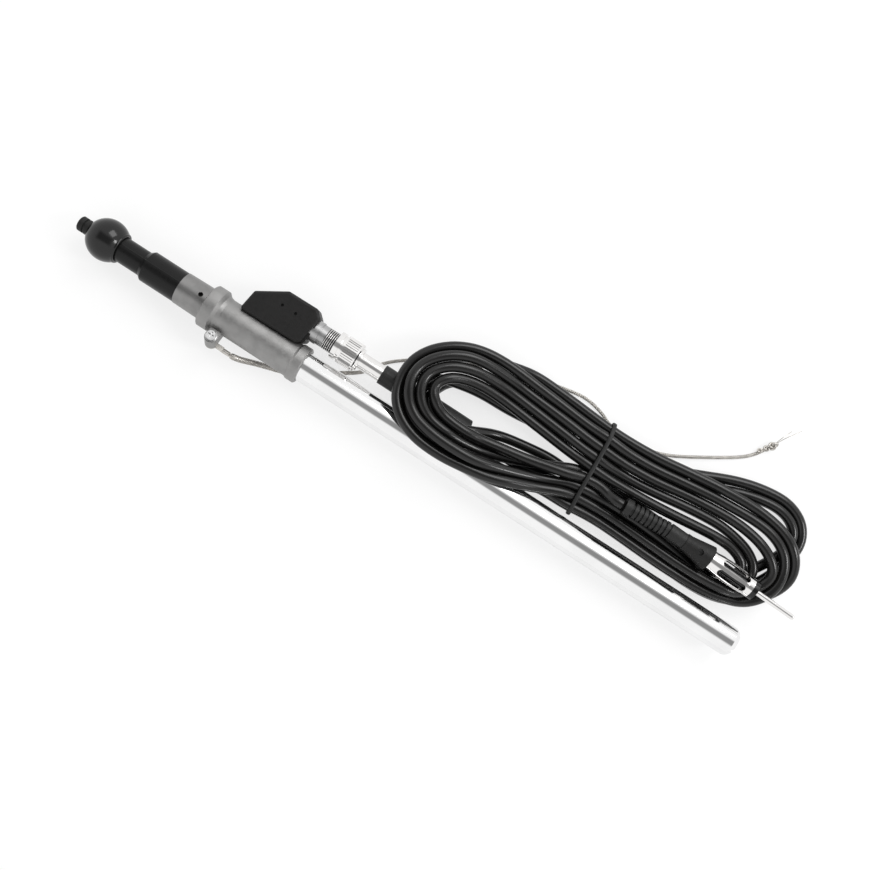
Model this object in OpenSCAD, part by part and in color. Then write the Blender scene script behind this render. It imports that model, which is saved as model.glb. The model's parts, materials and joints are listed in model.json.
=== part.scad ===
// Retractable car mast aerial with its lead, lying flat.
// The mast axis is the X axis, with the telescopic tip at -X and the foot of the tube at +X.
// The origin is the centre of the collar face, and the lead lies on the +Y side.

/* [Mast head] */
// Diameter of the ball above the wing panel
ball_d = 22.8; // [20:0.1:30]
// Distance from the collar face to the centre of the ball
ball_x = 62.0; // [60:0.1:70]
// Diameter of the neck that passes through the wing panel
neck_d = 13.8; // [13:0.1:16]
// Length of the neck below the ball
neck_len = 15.1; // [13:0.1:20]
// Diameter of the stem below the neck
stem_d = 17.2; // [16.8:0.1:18]
// Length of the cone between the neck and the stem
cone_len = 2.2; // [2:0.1:6]
// Diameter of the metal sleeve at its upper end
sleeve_d = 17.7; // [17.2:0.1:18.6]
// Length of the metal sleeve that shows above the collar
sleeve_len = 16.2; // [14:0.1:24]
// Diameter of the small hole in the sleeve
sleeve_hole_d = 2.6; // [1:0.1:4]

/* [Cast body] */
// Diameter of the collar
collar_d = 23.7; // [22:0.1:26]
// Width of the collar
collar_len = 7.2; // [6:0.1:10]
// Wall of the cast body round the tube
body_wall = 1.45; // [1.2:0.05:2.2]
// Length of the cast body with its collars
body_len = 59.0; // [56:0.1:70]
// Diameter of the lower collar
low_collar_d = 20.5; // [20:0.1:23]
// Width of the lower collar
low_collar_len = 5.0; // [4:0.1:9]
// Distance from the mast axis to the ear's screw
ear_offset = 14.0; // [12:0.1:15]
// Distance from the collar face to the ear's screw
ear_x = 11.6; // [9.5:0.1:16]
// Tilt of the ear's screw about the mast
ear_tilt = 20; // [0:1:30]

/* [Tube] */
// Outer diameter of the long tube
tube_d = 16.1; // [15.8:0.1:17]
// Wall of the long tube
tube_wall = 0.8; // [0.6:0.05:1.0]
// Distance from the collar face to the foot of the tube
tube_end = 324.5; // [300:0.5:360]
// Wall of the plastic liner inside the tube
liner_wall = 1.0; // [0.8:0.05:1.2]

/* [Telescopic mast] */
// Outer diameter of the thickest sliding section
section_1_d = 8.0; // [7.6:0.1:8.2]
// Outer diameter of the middle sliding section
section_2_d = 6.3; // [6.0:0.1:6.4]
// Outer diameter of the thinnest sliding tube
section_3_d = 4.8; // [4.4:0.1:4.9]
// Diameter of the solid rod at the top
rod_d = 2.6; // [2:0.1:3]
// Wall of the sliding tubes
section_wall = 0.4; // [0.3:0.05:0.5]
// Diameter of the cap on the tip
tip_d = 8.2; // [8.2:0.1:9.2]
// Length of the cap that shows above the ball
tip_show = 6.2; // [6:0.1:12]
// Diameter of the key socket in the cap
key_d = 5.4; // [4:0.1:6]
// Depth of the key socket
key_depth = 5.0; // [3:0.1:5.2]

/* [Aerial socket] */
// Distance between the mast axis and the axis of the lead's connector
socket_y = 18.85; // [18.5:0.05:21]
// Thickness of the moulded box
box_t = 16; // [14:0.5:20]
// Outer diameter of the threaded socket
socket_d = 11.4; // [11:0.1:12]
// Length of the socket from the box to its open end
socket_len = 18.5; // [16:0.1:22]
// Diameter of the coupling nut
nut_d = 15.6; // [15:0.1:18]
// Length of the coupling nut
nut_len = 15; // [13:0.1:17]
// Number of knurl grooves round the nut
knurl_count = 36; // [12:1:48]
// Diameter of the ferrule on the lead
ferrule_d = 9.1; // [8:0.1:10]
// Length of the ferrule that shows
ferrule_len = 13.3; // [8:0.1:18]
// Diameter of the boot behind the ferrule
boot_d = 10.6; // [9:0.1:11]

/* [Lead] */
// Diameter of the coaxial lead
lead_d = 5.6; // [5:0.1:6]
// Width of the rubber tie round the hank
tie_w = 2.8; // [1.5:0.1:4]
// Thickness of the rubber tie
tie_t = 1.8; // [1:0.1:2.5]
// Diameter of the earthing braid
braid_d = 1.6; // [1.2:0.1:1.7]

/* [Radio plug] */
// Diameter of the plug's centre pin
pin_d = 3.0; // [2.6:0.1:3.4]
// Length of the centre pin that shows
pin_len = 24.4; // [18:0.1:26]
// Diameter of the plug's slotted barrel at its ends
barrel_d = 10.6; // [9.6:0.1:11]
// How far the barrel's leaves bulge
barrel_bulge = 0.8; // [0.2:0.1:1]
// Length of the barrel
barrel_len = 25.8; // [20:0.1:28]
// Number of slots in the barrel
barrel_slots = 6; // [4:1:8]
// Diameter of the plug body at its front
grip_d = 14.0; // [13:0.1:15]
// Length of the plug body
grip_len = 15.5; // [13:0.1:20]
// Length of the smooth neck behind the plug body
relief_neck_len = 9.6; // [4:0.1:14]
// Number of ribs on the plug's strain relief
rib_count = 8; // [5:1:8]

/* [Hidden] */
$fn = 64;
eps = 0.01;
tiny = 0.02;
gap = 0.3;
fit = 0.05;
floor_z = -max(ball_d, collar_d) / 2;

// Mast head, measured from the collar face towards the tip
ball_r = ball_d / 2;
ball_land = 1.3;
ball_cut = sqrt(pow(ball_r, 2) - pow(neck_d / 2 + ball_land, 2));
ball_low = -ball_x + ball_cut;
neck_low = ball_low + neck_len;
stem_top = neck_low + cone_len;
spigot_d = 12;
spigot_len = 10;
ball_mouth_r = tip_d / 2 + gap;
ball_top = -ball_x - sqrt(pow(ball_r, 2) - pow(tip_d / 2, 2));
mouth_floor = ball_top + 2;
seal_len = 2;
guide_r = section_1_d / 2 + gap;
slide_r = section_1_d / 2 + fit;
stem_bore_d = 14;
sleeve_low_d = sleeve_d + 0.6;
sleeve_spigot_d = 16.2;
sleeve_spigot_len = 12;
sleeve_seat = 1;
sleeve_hole_x = -3.9;
sleeve_hole_turn = -17;

// Cast body and tube
body_d = tube_d + 2 * body_wall;
socket_bore_r = sleeve_spigot_d / 2 + fit;
tube_r = tube_d / 2;
tube_in_r = tube_r - tube_wall;
tube_top = body_len - 12;
liner_in_r = tube_in_r - fit - liner_wall;
holder_r = tube_in_r - fit;
holder_top = sleeve_spigot_len + tiny;
ring_x = 32;
ring_len = 8;
ring_gap_r = 5.9;
wire_r = 0.6;
wire_hole_r = 1.2;
ear_r = 3.5;
ear_top = 1.6;
ear_low = -6.4;
screw_r = 1.5;
screw_head_r = 2.8;
screw_head_len = 1.9;
washer_t = 0.6;
washer_r = screw_head_r + 0.35;
lug_t = 0.8;
ground_nut_len = 2;
ear_nut_r = 2.9;
crimp_len = 2.6;
foot_plug_len = 5;

// Sliding sections, at rest pushed right in
foot_len = 10;
mouth_len = 3;
mouth_step = 2;
section_1_mouth = mouth_floor + 2 * mouth_step + gap;
section_2_mouth = section_1_mouth - mouth_step;
section_3_mouth = section_2_mouth - mouth_step;
section_1_end = tube_end - crimp_len - foot_plug_len - 2;
section_2_end = section_1_end - mouth_step;
section_3_end = section_2_end - mouth_step;
rod_end = section_3_end - mouth_step;
tip_base = mouth_floor - gap;
tip_top = ball_top - tip_show;
rod_in_cap = 2.4;
tip_groove_x = 3.1;

// Aerial socket and the lead's connector
box_end = 53.5;
socket_start = 47;
socket_end = box_end + socket_len;
socket_in_r = 4.0;
socket_base_d = 12.4;
nut_start = socket_end - 4.9;
nut_end = nut_start + nut_len;
ferrule_start = socket_end + gap;
ferrule_end = nut_end + ferrule_len;
ferrule_in_r = 3.0;
boot_bend_r = 218;
boot_angle = 13.5;
boot_collar = 1.8;
boot_bend_x = ferrule_end + boot_collar;
function boot_point(a) = [boot_bend_x + boot_bend_r * sin(a), socket_y, -boot_bend_r * (1 - cos(a))];
boot_path = [for (k = [0:9]) boot_point(boot_angle * k / 9)];
boot_end = boot_path[9];
boot_way = (boot_path[9] - boot_path[8]) / norm(boot_path[9] - boot_path[8]);

// The lead on the ground, and the hank: points in mm chosen by hand
lead_r = lead_d / 2;
lead_z = floor_z + lead_r;
hank_step_x = 178;
hank_top_z = 15.7;
hank_flat_top = -0.6;
lead_start_route = [
    boot_end + 0.12 * boot_way, boot_end + 6 * boot_way,
    [160, 17.8, lead_z + 0.4], [168, 17.4, lead_z],
    [hank_step_x - 3, 17.4, lead_z], [hank_step_x - 0.1, 17.4, lead_z]
];
hank_outline = [
    [101, 32], [103, 22], [108, 12], [117, 4], [133, -1], [150, -2], [163, -1], [172, 1], [181, 4.5],
    [189, 8], [202, 11], [217, 13], [236, 15], [259, 14.5], [282, 12], [305, 12.5], [321, 19],
    [330, 28], [336, 41], [334, 53], [330.5, 62], [328, 70], [322, 77], [311, 80.8], [297, 79.3],
    [284, 75], [273, 71.3],
    [250, 66], [228, 62.8], [212, 62.3], [198, 63.6], [183, 64.7], [163, 64.2], [144, 63.2],
    [129, 60], [117, 54], [107, 44]
];
hank_hole = [
    [128.5, 26], [131, 29.5], [136, 32.6], [145, 36], [158, 38], [171, 38.8], [182, 38.6],
    [197, 37.2], [190, 32.8], [179, 28.4], [167, 26.2], [155, 24.8], [146, 24.6], [136, 24]
];
hank_slit = [[248, 43.4], [262, 45.2], [280, 46.3], [295, 46.2], [280, 44.6], [262, 43.7]];
tie_x = 214.8;
tie_turn = 4.4;
tie_y0 = 12;
tie_y1 = 63.4;
tie_top = 1.6;

// The earthing braid lies on the floor and runs under the hank and its tie
braid_z = floor_z + braid_d / 2;
knot_r = 2.2;
tie_low = floor_z + braid_d + gap;
knot_place = [289.2, 99.4, floor_z + knot_r];

// Radio plug, measured back from the tip of its pin
plug_tip = [341.6, 28, 6.4];
plug_yaw = -2.3;
plug_pitch = 1.3;
plug_way = [cos(plug_pitch) * cos(plug_yaw), cos(plug_pitch) * sin(plug_yaw), sin(plug_pitch)];
plug_ring_t = 2.8;
pin_root_r = pin_d / 2 - 0.2;
barrel_start = pin_len + plug_ring_t;
grip_start = barrel_start + barrel_len;
grip_end = grip_start + grip_len;
grip_back_d = 9.4;
grip_wall = 1.4;
grip_room_len = 4.8;
rib_pitch = 2.6;
rib_gap = 0.9;
rib_start = grip_end + relief_neck_len;
rib_len = rib_pitch * rib_count;
relief_collar_start = rib_start + rib_len + 1.6;
relief_end = relief_collar_start + 3.6;
relief_bend = 6;
relief_yaw = plug_yaw + relief_bend;
relief_way = [cos(plug_pitch) * cos(relief_yaw), cos(plug_pitch) * sin(relief_yaw), sin(plug_pitch)];
lead_end_len = 4;
plug_back = plug_tip - rib_start * plug_way - (relief_end - rib_start) * relief_way;
lead_end_x = 220;
lead_end_y = 31;
lead_end_route = [
    [lead_end_x + 0.1, lead_end_y, -3.6], [lead_end_x + 1, lead_end_y, -3.6],
    [lead_end_x + 2, lead_end_y, -3.5], [225.5, 30.6, -1.6], [229.3, 29.7, 1.6],
    plug_back - 4 * relief_way, plug_back - 2 * relief_way, plug_back - tiny * relief_way
];
relief_r = 4.3;
relief_core_r = 3.2;
rib_r = 4.3;
relief_collar_r = 4.7;

rubber_black = [0.08, 0.08, 0.085];
gloss_black = [0.03, 0.03, 0.03];
zinc = [0.62, 0.63, 0.65];
satin = [0.7, 0.71, 0.73];
chrome = [0.86, 0.87, 0.89];
brass = [0.78, 0.62, 0.3];
steel = [0.7, 0.7, 0.72];
white_plastic = [0.9, 0.9, 0.86];
tin = [0.66, 0.62, 0.55];

// A place on a smooth curve through p1 and p2, with p0 and p3 beside them
function between(p0, p1, p2, p3, t) =
    0.5 * (2 * p1 + (p2 - p0) * t + (2 * p0 - 5 * p1 + 4 * p2 - p3) * t * t
    + (3 * p1 - p0 - 3 * p2 + p3) * t * t * t);
function open_curve(p, n) = concat(
    [for (i = [0:len(p) - 2], j = [0:n - 1])
        between(p[max(i - 1, 0)], p[i], p[i + 1], p[min(i + 2, len(p) - 1)], j / n)],
    [p[len(p) - 1]]);
function closed_curve(p, n) =
    let (m = len(p))
    [for (i = [0:m - 1], j = [0:n - 1])
        between(p[(i + m - 1) % m], p[i], p[(i + 1) % m], p[(i + 2) % m], j / n)];
function unit(v) = v / norm(v);
function heading(p, i) = unit(p[min(i + 1, len(p) - 1)] - p[max(i - 1, 0)]);

// A cord of radius r along the path p
module cord(p, r, sides) {
    rings = len(p);
    points = [for (i = [0:rings - 1], k = [0:sides - 1])
        let (along = heading(p, i), side = unit(cross([0, 0, 1], along)), up = cross(along, side))
        p[i] + r * (side * cos(360 * k / sides) + up * sin(360 * k / sides))];
    walls = [for (i = [0:rings - 2], k = [0:sides - 1])
        let (a = i * sides + k, b = i * sides + (k + 1) % sides)
        [a, a + sides, b + sides, b]];
    first = [for (k = [0:sides - 1]) k];
    last = [for (k = [sides - 1:-1:0]) (rings - 1) * sides + k];
    polyhedron(points, concat([first], walls, [last]), convexity = 4);
}

// A round bar or a tube along the mast, from x0 to x1
module bar(x0, x1, r) translate([x0, 0, 0]) rotate([0, 90, 0]) cylinder(h = x1 - x0, r = r);
module taper(x0, x1, r0, r1) translate([x0, 0, 0]) rotate([0, 90, 0]) cylinder(h = x1 - x0, r1 = r0, r2 = r1);
module pipe(x0, x1, r, bore) difference() {
    bar(x0, x1, r);
    bar(x0 - 1, x1 + 1, bore);
}
module at_socket() translate([0, socket_y, 0]) children();
module at_ear() translate([ear_x, 0, 0]) rotate([-ear_tilt, 0, 0])
    translate([0, -ear_offset, 0]) children();
module at_plug() translate(plug_tip) rotate([0, -plug_pitch, plug_yaw]) rotate([0, 0, 180])
    children();
module at_relief() translate([rib_start, 0, 0]) rotate([0, 0, relief_bend])
    translate([-rib_start, 0, 0]) children();

module ball_cap() color(gloss_black) difference() {
    union() {
        intersection() {
            translate([-ball_x, 0, 0]) sphere(d = ball_d, $fn = 96);
            bar(-ball_x - ball_r - 1, ball_low, ball_r + 1);
        }
        translate([ball_low, 0, 0]) rotate([0, 90, 0]) rotate_extrude()
            translate([neck_d / 2 + ball_land - 0.5, 0]) circle(r = 0.9);
    }
    bar(-ball_x - ball_r - 1, mouth_floor, ball_mouth_r);
    bar(-ball_x - ball_r, ball_low + 1, guide_r);
    bar(ball_low - spigot_len - seal_len - tiny, ball_low + 1, spigot_d / 2 + fit);
    bar(ball_low, ball_low + 2, neck_d / 2 + 0.1);
}

module wiper_seal() color(rubber_black)
    pipe(ball_low - spigot_len - seal_len, ball_low - spigot_len - tiny, spigot_d / 2, slide_r);

module neck() color(gloss_black) difference() {
    union() {
        bar(ball_low - spigot_len, ball_low, spigot_d / 2);
        bar(ball_low + tiny, neck_low, neck_d / 2);
        taper(neck_low, stem_top, neck_d / 2, stem_d / 2);
        bar(stem_top, -sleeve_len, stem_d / 2);
        bar(-sleeve_len, sleeve_spigot_len, stem_bore_d / 2 - tiny);
        bar(ball_low - eps, ball_low + 1, spigot_d / 2);
    }
    bar(ball_low - spigot_len - 1, sleeve_spigot_len + 1, guide_r);
}

module head_sleeve() color(satin) difference() {
    union() {
        taper(-sleeve_len + tiny, sleeve_seat - fit, sleeve_d / 2, sleeve_low_d / 2);
        bar(0, sleeve_spigot_len, sleeve_spigot_d / 2);
    }
    bar(-sleeve_len - 1, sleeve_spigot_len + 1, stem_bore_d / 2);
    rotate([sleeve_hole_turn, 0, 0]) translate([sleeve_hole_x, 0, stem_bore_d / 2 - 1])
        cylinder(h = 6, d = sleeve_hole_d);
}

// The ear is a round boss with a web that runs into the casting beside the collar
module ear_boss() at_ear() {
    translate([0, 0, ear_low]) cylinder(h = ear_top - ear_low, r = ear_r);
    translate([-ear_r + 0.3, 0, ear_low + 0.4])
        cube([2 * ear_r - 0.6, ear_offset - holder_r, ear_top - ear_low - 0.8]);
}

module cast_body() color(zinc) difference() {
    union() {
        bar(0.5, collar_len - 0.8, collar_d / 2);
        taper(0, 0.5, collar_d / 2 - 0.5, collar_d / 2);
        taper(collar_len - 0.8, collar_len + 1, collar_d / 2, body_d / 2 + 0.6);
        taper(collar_len + 1, collar_len + 3, body_d / 2 + 0.6, body_d / 2);
        bar(collar_len, body_len - 1, body_d / 2);
        taper(body_len - low_collar_len - 1.2, body_len - low_collar_len, body_d / 2, low_collar_d / 2);
        bar(body_len - low_collar_len, body_len - 0.6, low_collar_d / 2);
        taper(body_len - 0.6, body_len, low_collar_d / 2, low_collar_d / 2 - 0.6);
        ear_boss();
    }
    bar(-1, sleeve_seat, sleeve_low_d / 2 + fit);
    bar(-1, sleeve_spigot_len + fit, socket_bore_r);
    bar(0, body_len, tube_in_r);
    bar(tube_top - fit, body_len + 1, tube_r + fit);
    translate([ring_x, 0, 0]) rotate([-90, 0, 0]) cylinder(h = body_d, r = wire_hole_r);
    at_ear() translate([0, 0, ear_low - 1]) cylinder(h = ear_top - ear_low + 2, r = screw_r + 0.15);
    at_ear() translate([0, 0, ear_top]) cylinder(h = collar_d / 2, r = washer_r + 0.3);
}

module ground_screw() color(steel) at_ear() difference() {
    union() {
        translate([0, 0, ear_top + washer_t + tiny]) cylinder(h = screw_head_len - 0.4, r = screw_head_r);
        translate([0, 0, ear_top + washer_t + screw_head_len - 0.4])
            cylinder(h = 0.4, r1 = screw_head_r, r2 = screw_head_r - 0.4);
        translate([0, 0, ear_low - lug_t - ground_nut_len - 0.4])
            cylinder(h = ear_top - ear_low + lug_t + washer_t + ground_nut_len + 1, r = screw_r);
    }
    for (turn = [0, 90]) rotate([0, 0, turn])
        translate([-1.7, -0.35, ear_top + washer_t + screw_head_len - 0.9]) cube([3.4, 0.7, 2]);
}

module ground_washer() color(steel) at_ear() difference() {
    translate([0, 0, ear_top + eps]) cylinder(h = washer_t, r = washer_r);
    translate([0, 0, ear_top - 1]) cylinder(h = 3, r = screw_r + 0.1);
}

module ground_nut() color(steel) at_ear() difference() {
    translate([0, 0, ear_low - lug_t - ground_nut_len - tiny])
        cylinder(h = ground_nut_len, r = ear_nut_r, $fn = 6);
    translate([0, 0, ear_low - lug_t - ground_nut_len - 1]) cylinder(h = 4, r = screw_r + eps);
}

// Ring tongue under the ear, with its crimped barrel towards the foot of the mast
lug_barrel_x = ear_r + 2.6;
lug_barrel_len = 5;
module ground_lug() color(tin) at_ear() difference() {
    union() {
        translate([0, 0, ear_low - lug_t - eps]) cylinder(h = lug_t, r = ear_r);
        translate([0, -1.4, ear_low - lug_t - eps]) cube([lug_barrel_x + 1, 2.8, lug_t]);
        translate([lug_barrel_x, 0, ear_low - 1.3]) rotate([0, 90, 0])
            cylinder(h = lug_barrel_len, r = 1.3);
    }
    translate([0, 0, ear_low - 3]) cylinder(h = 4, r = screw_r + 0.1);
}
function turned(p, a) = [p[0], p[1] * cos(a) - p[2] * sin(a), p[1] * sin(a) + p[2] * cos(a)];
lug_mouth = turned([lug_barrel_x + lug_barrel_len + 0.1, -ear_offset, ear_low - 1.3], -ear_tilt)
    + [ear_x, 0, 0];

braid_route = [
    lug_mouth, lug_mouth + [2, 0, 0], lug_mouth + [4, 0, -0.2], [35, -12.6, braid_z + 0.9],
    [43, -10.2, braid_z], [54, -6.6, braid_z], [65, -0.4, braid_z], [76, 7.7, braid_z],
    [85.5, 14.8, braid_z], [92, 24, braid_z], [101, 32, braid_z], [116, 42, braid_z], [134, 50, braid_z],
    [152, 57, braid_z], [169, 62.4, braid_z], [185, 66, braid_z], [194, 66.8, braid_z],
    [203.3, 65, braid_z], [213, 61.6, braid_z], [229, 61, braid_z], [244, 64.6, braid_z],
    [260, 73.4, braid_z], [277, 84.4, braid_z], [284, 91, braid_z],
    knot_place + [-1.2, -1.8, braid_z - knot_place[2]]
];
module ground_braid() color(tin) cord(open_curve(braid_route, 2), braid_d / 2, 8);

module braid_knot() color(tin) translate(knot_place) {
    sphere(r = knot_r, $fn = 24);
    rotate([0, 84, 52]) cylinder(h = 15, r = 0.4, $fn = 8);
    rotate([0, 86, 64]) cylinder(h = 17, r = 0.4, $fn = 8);
}

module contact_holder() color(white_plastic) difference() {
    bar(holder_top, tube_top - fit, holder_r);
    bar(0, body_len, slide_r);
    bar(ring_x - ring_len / 2 - fit, ring_x + ring_len / 2 + fit, ring_gap_r);
    translate([ring_x, 0, 0]) rotate([-90, 0, 0]) cylinder(h = body_d, r = wire_hole_r);
}

// Split spring ring that always touches the thickest section
module contact_ring() color(brass) difference() {
    bar(ring_x - ring_len / 2, ring_x + ring_len / 2, ring_gap_r - fit);
    bar(ring_x - ring_len, ring_x + ring_len, slide_r);
    for (turn = [30:60:330]) rotate([turn, 0, 0])
        translate([ring_x - ring_len / 2 - 1, -0.4, slide_r - 1]) cube([ring_len - 1, 0.8, 4]);
}

module feed_wire() color(brass) {
    translate([ring_x, ring_gap_r, 0]) rotate([-90, 0, 0]) cylinder(h = socket_y - ring_gap_r, r = wire_r);
    translate([ring_x, socket_y, 0]) sphere(r = wire_r);
    at_socket() bar(ring_x, socket_start + 2.98, wire_r);
}

// Moulded box: a bevelled outline with soft edges, hollowed to sit over the casting
box_points = [[18, 9.2], [19.4, 18.2], [33.6, 27], [49.8, 27.2], [52.6, 24.6], [51.8, 12], [48.6, 9.6]];
module junction_box() color(rubber_black) difference() {
    hull() for (p = box_points, side = [-1, 1])
        translate([p[0], p[1], side * (box_t / 2 - 1.7)]) sphere(r = 1.7, $fn = 20);
    bar(0, 70, body_d / 2 + fit);
    at_socket() bar(socket_start - fit, 70, socket_base_d / 2 + fit);
    at_socket() bar(ring_x - wire_hole_r, 60, wire_hole_r);
    translate([ring_x, 0, 0]) rotate([-90, 0, 0]) cylinder(h = socket_y, r = wire_hole_r);
    for (x = [34, 42.1]) translate([x, 20.7, box_t / 2 - 1.2]) cylinder(h = 3, d = 1.6);
    translate([box_end - 3.2, 0, box_t / 2 - 2.4]) rotate([0, 0, -8]) cube([10, 20, 10]);
}

module socket() color(satin) at_socket() difference() {
    union() {
        bar(socket_start, box_end + 3.7, socket_base_d / 2);
        bar(box_end + 3, socket_end - 0.4, socket_d / 2);
        taper(socket_end - 0.4, socket_end, socket_d / 2, socket_d / 2 - 0.4);
    }
    bar(socket_start + 1.5, socket_end + 1, socket_in_r);
    bar(socket_start - 1, socket_end, 2);
}

module socket_insulator() color(white_plastic)
    at_socket() pipe(socket_start + 1.5 + tiny, socket_start + 9, socket_in_r - tiny, 1.4 + tiny);

module socket_contact() color(brass) at_socket() difference() {
    bar(socket_start + 3, socket_start + 14, 1.4);
    bar(socket_start + 5, socket_start + 15, 0.85);
    translate([socket_start + 10, -0.2, -2]) cube([5, 0.4, 4]);
}

// Coupling nut: a rim, a groove and a knurled grip, captive behind the ferrule's collar
nut_rim_len = 2.6;
nut_groove_len = 1.6;
nut_shoulder_len = 1.8;
nut_lip_len = 3.5;
knurl_w = 0.6;
knurl_start = nut_start + nut_rim_len + nut_groove_len + 0.9;
knurl_len = nut_end - 2 * nut_shoulder_len - knurl_start + 0.9;
module coupling_nut() color(chrome) at_socket() difference() {
    union() {
        bar(nut_start, nut_start + nut_rim_len, nut_d / 2 - 0.1);
        bar(nut_start + nut_rim_len - eps, nut_start + nut_rim_len + nut_groove_len + eps, nut_d / 2 - 1);
        bar(nut_start + nut_rim_len + nut_groove_len, nut_end - nut_shoulder_len, nut_d / 2);
        taper(nut_end - nut_shoulder_len, nut_end - 1.2, nut_d / 2, nut_d / 2 - 0.6);
        bar(nut_end - 1.3, nut_end, nut_d / 2 - 1.7);
    }
    bar(nut_start - 1, nut_end - nut_lip_len, socket_d / 2 + fit);
    bar(nut_start, nut_end + 1, ferrule_d / 2 + fit);
    for (k = [0:knurl_count - 1]) rotate([360 * k / knurl_count, 0, 0])
        translate([knurl_start, 0, nut_d / 2 + 0.1]) rotate([45, 0, 0])
            translate([0, -knurl_w / 2, -knurl_w / 2]) cube([knurl_len, knurl_w, knurl_w]);
}

module cable_ferrule() color(chrome) at_socket() difference() {
    union() {
        bar(ferrule_start, ferrule_start + 1.6, socket_d / 2 - 0.1);
        bar(ferrule_start + 1, ferrule_end, ferrule_d / 2);
    }
    bar(ferrule_start - 1, ferrule_end + 1, ferrule_in_r);
}

module cable_insulator() color(white_plastic)
    at_socket() pipe(ferrule_start, ferrule_end, ferrule_in_r - tiny, 0.8 + tiny);

module cable_pin() color(brass) at_socket() {
    bar(socket_start + 8, ferrule_end, 0.8);
    translate([socket_start + 8, 0, 0]) sphere(r = 0.8);
}

// The boot droops from the ferrule to the floor under the hank
module cable_boot() color(rubber_black) {
    at_socket() bar(ferrule_end + tiny, ferrule_end + boot_collar + eps, boot_d / 2);
    cord(boot_path, boot_d / 2, 24);
}

module lead_start() color(rubber_black) cord(open_curve(lead_start_route, 2), lead_r, 8);

// The tie's loop, as a ring of the width w with its inner and outer outline moved by clear
tie_inset = 2 * tie_t;
module tie_ring(w, clear) translate([tie_x, 0, 0]) rotate([0, 0, tie_turn]) difference() {
    translate([-w / 2, tie_y0 - clear, tie_low - clear])
        cube([w, tie_y1 - tie_y0 + 2 * clear, tie_top - tie_low + 2 * clear]);
    translate([-w, tie_y0 + tie_t + clear, tie_low + tie_t + clear])
        cube([2 * w, tie_y1 - tie_y0 - tie_inset - 2 * clear, tie_top - tie_low - tie_inset - 2 * clear]);
}
module hank_tie() color(rubber_black) tie_ring(tie_w, 0);

// Side view of the hank: it lies on the floor on the right and climbs over the boot and tube on the left
function over_boot(a) = [boot_point(a)[0], boot_point(a)[2] + boot_d / 2 + gap];
hank_side = [
    [90, boot_d / 2 + gap], for (a = [0:boot_angle / 3:boot_angle + eps]) over_boot(a),
    [hank_step_x, lead_z + lead_r + gap], [hank_step_x, floor_z], [350, floor_z],
    [350, hank_flat_top], [240, hank_flat_top], [214, tie_top - 0.8], [152, hank_top_z], [90, hank_top_z]
];
plug_front_room = 8;
module plug_room() at_plug() {
    bar(-plug_front_room, pin_len + 1, pin_d / 2 + 1.2);
    bar(pin_len - 1, grip_start + 1, barrel_d / 2 + barrel_bulge + gap);
    bar(grip_start - gap, relief_end + lead_end_len, grip_d / 2 + gap);
    translate([barrel_start, -grip_d / 2 - gap, 0])
        cube([relief_end + lead_end_len - barrel_start, grip_d + 2 * gap, ball_d]);
    at_relief() {
        bar(rib_start, relief_end + lead_end_len, relief_collar_r + 1);
        translate([rib_start, -relief_collar_r - 1, 0])
            cube([relief_end + lead_end_len - rib_start, 2 * relief_collar_r + 2, ball_d]);
    }
    translate([-plug_front_room, -barrel_d / 2 - gap, 0])
        cube([barrel_start + plug_front_room + 1, barrel_d + 2 * gap, ball_d]);
}
module lead_hank() color(rubber_black) difference() {
    intersection() {
        translate([0, 0, floor_z - 1]) linear_extrude(height = hank_top_z - floor_z + 2) difference() {
            polygon(closed_curve(hank_outline, 2));
            polygon(closed_curve(hank_hole, 2));
            polygon(closed_curve(hank_slit, 2));
        }
        translate([0, 100, 0]) rotate([90, 0, 0]) linear_extrude(height = 120) polygon(hank_side);
    }
    bar(80, 240, tube_r + gap);
    plug_room();
    translate([lead_end_x - eps, lead_end_route[0][1] - lead_d, lead_end_route[0][2] - lead_r - gap])
        cube([plug_back[0] - lead_end_x, 2 * lead_d, ball_d]);
    tie_ring(tie_w + 0.2, 0.1);
    translate([160, 55, floor_z - 1]) cube([100, 25, braid_d + gap + 1]);
    translate([tie_x, 0, tie_low - 5]) rotate([0, 0, tie_turn]) translate([-tie_w, tie_y0 - 2, 0])
        cube([2 * tie_w, tie_y1, 5 + tie_t + gap]);
}

module lead_end() color(rubber_black) cord(open_curve(lead_end_route, 2), lead_r, 8);

// The strain relief: a smooth neck, ribs that bend a little towards the lead, and a collar
relief_root_len = 5;
module plug_relief() color(rubber_black) at_plug() {
    difference() {
        union() {
            bar(grip_end - relief_root_len, grip_end + 2, grip_back_d / 2 - grip_wall);
            bar(grip_end + tiny, rib_start, relief_r);
        }
        bar(grip_end - relief_root_len - 1, rib_start - 1, 1.2);
    }
    at_relief() {
        bar(rib_start - 1, relief_end, relief_core_r);
        for (k = [0:rib_count - 1])
            bar(rib_start + k * rib_pitch + rib_gap, rib_start + (k + 1) * rib_pitch, rib_r);
        bar(relief_collar_start, relief_end, relief_collar_r);
    }
}

plug_screw_x = grip_start + 7;
plug_screw_z = 4.1;
module plug_body() color(rubber_black) at_plug() difference() {
    union() {
        taper(grip_start, grip_start + 0.5, grip_d / 2 - 0.4, grip_d / 2);
        taper(grip_start + 0.5 - eps, grip_end - 0.6, grip_d / 2, grip_back_d / 2 - 0.3);
        bar(grip_end - 1.5, grip_end, grip_back_d / 2);
    }
    bar(grip_start - 1, grip_start + grip_room_len, barrel_d / 2 + fit);
    bar(grip_start, grip_end - relief_root_len + eps, grip_back_d / 2 - grip_wall - 0.3);
    bar(grip_end - relief_root_len - tiny, grip_end + 1, grip_back_d / 2 - grip_wall + tiny);
    translate([plug_screw_x, 0, plug_screw_z]) cylinder(h = grip_d, r = 1.75);
}

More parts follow.
